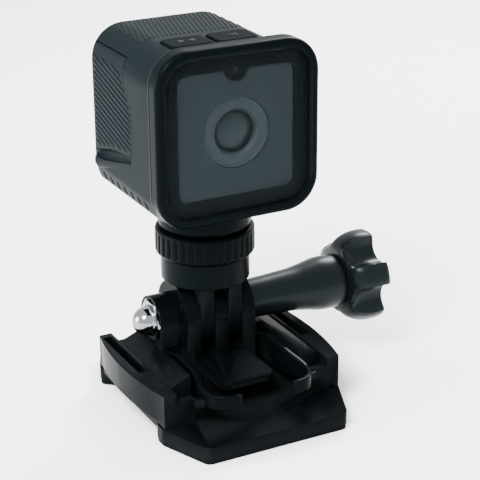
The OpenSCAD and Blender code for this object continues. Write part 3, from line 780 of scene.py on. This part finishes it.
def sprung_arm(name, body, side):
    """Rounded band swept along the arm's path, with its root barrel and its catch."""
    pts = [Vector(p) for p in ARM]
    path = []
    for i in range(len(pts) - 1):
        p0, p1, p2, p3 = pts[max(i - 1, 0)], pts[i], pts[i + 1], pts[min(i + 2, len(pts) - 1)]
        for k in range(5):
            t = k / 5
            path.append(0.5 * (2 * p1 + (p2 - p0) * t + (2 * p0 - 5 * p1 + 4 * p2 - p3) * t * t
                               + (3 * p1 - p0 - 3 * p2 + p3) * t ** 3))
    path.append(pts[-1])
    rings = []
    for i, p in enumerate(path):
        d = (path[min(i + 1, len(path) - 1)] - path[max(i - 1, 0)]).normalized()
        n = Vector((-d.y, d.x))
        hi = along(ARM_TOP, p.y)
        lo = along(ARM_UNDER, p.y)
        left = len(path) - 1 - i
        cut = 0.3 if left == 0 else 0.1 if left == 1 else 0.0
        ring = []
        for u, v in round_rect(1.06 - cut, hi - lo - cut, 0.26, 0, (hi + lo) / 2, 3):
            ring.append((side * (p.x + n.x * u), p.y + n.y * u, v))
        rings.append(ring)
    bm = bmesh.new()
    skin(bm, rings)
    lathe(bm, disc_profile(6.55, 12.25, 1.13, 0.2), "z", (side * 10.3, -5.9, 0), 32)
    block = [(11.2, -23.1), (13.55, -22.6), (13.55, -21.4), (11.2, -21.4)]
    prism(bm, [(side * x, y) for x, y in block], "z", 7.65, 9.35, 0.18, 2)
    finish_piece(name + "_band", bm, body, [name])


sprung_arm("release_arm_left", "arm_left", -1)
sprung_arm("release_arm_right", "arm_right", 1)

N0, N1 = mm_box("cap_nut")
axis_z = (N0[2] + N1[2]) / 2
hex_r = 8.0 / math.sqrt(3)


def hexagon(x, cap):
    """Ring of a hexagon 8 mm across its flats, with its corners cut back to the radius cap."""
    ring = []
    for i in range(72):
        a = 2 * math.pi * i / 72
        q = 4.0 / math.cos((a + math.pi / 6) % (math.pi / 3) - math.pi / 6)
        ring.append((x, -min(q, cap) * math.sin(a), axis_z + min(q, cap) * math.cos(a)))
    return ring


tip = N0[0]
dome = [(tip + 4.6, 3.3), (tip + 3.5, 3.3), (tip + 3.3, 3.22), (tip + 3.15, 3.02), (tip + 3.0, 3.0)]
for a in [math.radians(d) for d in range(9, 91, 9)]:
    dome.append((tip + 3.0 - 3.0 * math.sin(a), max(3.0 * math.cos(a), 0.03)))
nut_steps = ((5.9, hex_r), (4.0, hex_r), (3.85, 4.4), (3.7, 4.1))
bm = solid_from(skin, [hexagon(tip + d, cap) for d, cap in nut_steps])
lathe(bm, dome, "x", (0, 0, axis_z), 64)
finish_piece("acorn_nut", bm, "mount", ["cap_nut"])

# ---------- thumb knob ----------

end_x = mm_box("thumb_knob")[1][0]
TIP_R = 10.0
FLUTE_D, FLUTE_R = 9.8, 3.5
# Along X: radius of the round envelope, and how deep the flutes are cut there
KNOB = [(8.4, 3.9, 0), (8.7, 4.1, 0), (14, 4.3, 0), (20, 4.6, 0), (23, 5.05, 0), (26, 5.7, 0), (28, 5.8, 0),
        (30.4, 5.8, 0), (30.85, 5.72, 0), (31.05, 5.5, 0), (31.1, 5.35, 0), (31.2, 5.6, 0), (31.24, 6.4, 0),
        (31.45, 7.2, 0.05), (31.8, 7.9, 0.35), (32.3, 8.55, 0.7), (33, 9.05, 0.92), (34, 9.5, 1),
        (35.2, 9.85, 1), (36.6, TIP_R, 1), (38, TIP_R, 1), (end_x - 0.35, TIP_R - 0.1, 1),
        (end_x - 0.12, TIP_R - 0.25, 1), (end_x, TIP_R - 0.5, 1), (end_x - 0.1, TIP_R - 0.9, 1),
        (end_x - 1.1, 5.7, 0), (end_x - 1.35, 5.4, 0), (end_x - 1.5, 4.8, 0), (end_x - 1.65, 3.0, 0),
        (end_x - 1.75, AXIS_R, 0)]


def fluted(a, env, f):
    """Radius at angle a: the round envelope, with the five finger flutes blended in by f."""
    t = math.radians(((math.degrees(a) + 2 + 36) % 72) - 36)
    off = math.radians(36) - abs(t)
    r = env
    if abs(FLUTE_D * math.sin(off)) < FLUTE_R:
        r = min(env, FLUTE_D * math.cos(off) - math.sqrt(FLUTE_R ** 2 - (FLUTE_D * math.sin(off)) ** 2))
    edge = max(0.0, 1 - abs(abs(off) - 0.365) / 0.10)
    r = min(r, env - 0.22 * edge * f)
    return env + (r - env) * f


rings = []
for x, env, f in KNOB:
    ring = []
    for a in [2 * math.pi * i / 240 for i in range(240)]:
        r = fluted(a, env, f)
        ring.append((x, -r * math.sin(a), axis_z + r * math.cos(a)))
    rings.append(ring)
finish_piece("knob_grip", solid_from(skin, rings), "thumb_screw", ["thumb_knob"], angle=38)

# ---------- stage, light, camera ----------


def build_floor():
    """Paper floor under the object; it is not one of the object's parts."""
    bm = bmesh.new()
    bmesh.ops.create_grid(bm, x_segments=8, y_segments=8, size=1.6)
    me = bpy.data.meshes.new("floor")
    bm.to_mesh(me)
    bm.free()
    ob = bpy.data.objects.new("floor", me)
    bpy.context.scene.collection.objects.link(ob)
    me.materials.append(surface("floor_paper", (0.95, 0.95, 0.95), (0.98, 0.98, 0.98), 0.75, 800, 0.02))


build_floor()
world = bpy.data.worlds.new("studio")
bpy.context.scene.world = world
world.use_nodes = True
world.node_tree.nodes["Background"].inputs["Color"].default_value = (0.97, 0.98, 1.0, 1)
world.node_tree.nodes["Background"].inputs["Strength"].default_value = 2.2


def area(name, at, aim, size, watts):
    """Round area light at one point, aimed at another."""
    li = bpy.data.lights.new(name, "AREA")
    li.shape, li.size, li.energy = "DISK", size, watts
    ob = bpy.data.objects.new(name, li)
    ob.location = at
    ob.rotation_euler = (Vector(aim) - Vector(at)).to_track_quat("-Z", "Y").to_euler()
    bpy.context.scene.collection.objects.link(ob)


area("key_light", (-0.28, -0.20, 0.42), (0, 0, 0.045), 0.22, 8.0)
area("rim_light", (0.30, 0.25, 0.35), (0, 0, 0.05), 0.20, 5.0)
area("side_light", (-0.40, 0.15, 0.12), (0, 0, 0.05), 0.20, 3.0)

# Viewpoint fitted to the photo: angles in degrees, then metres to the right, up and back
az, el, roll = (math.radians(a) for a in (-27.491, 21.818, -0.453))
VIEW_RIGHT, VIEW_UP, VIEW_BACK = 0.006952, 0.030277, 0.330562
back = Vector((math.sin(az) * math.cos(el), -math.cos(az) * math.cos(el), math.sin(el)))
right = Vector((0, 0, 1)).cross(back).normalized()
up = back.cross(right)
right, up = right * math.cos(roll) + up * math.sin(roll), up * math.cos(roll) - right * math.sin(roll)
cam = bpy.data.cameras.new("camera_view")
cam_ob = bpy.data.objects.new("camera_view", cam)
bpy.context.scene.collection.objects.link(cam_ob)
bpy.context.scene.camera = cam_ob
cam.sensor_width, cam.lens, cam.clip_start = 36, 116.6, 0.01
place = Matrix((right, up, back)).transposed().to_4x4()
place.translation = right * VIEW_RIGHT + up * VIEW_UP + back * VIEW_BACK
cam_ob.matrix_world = place
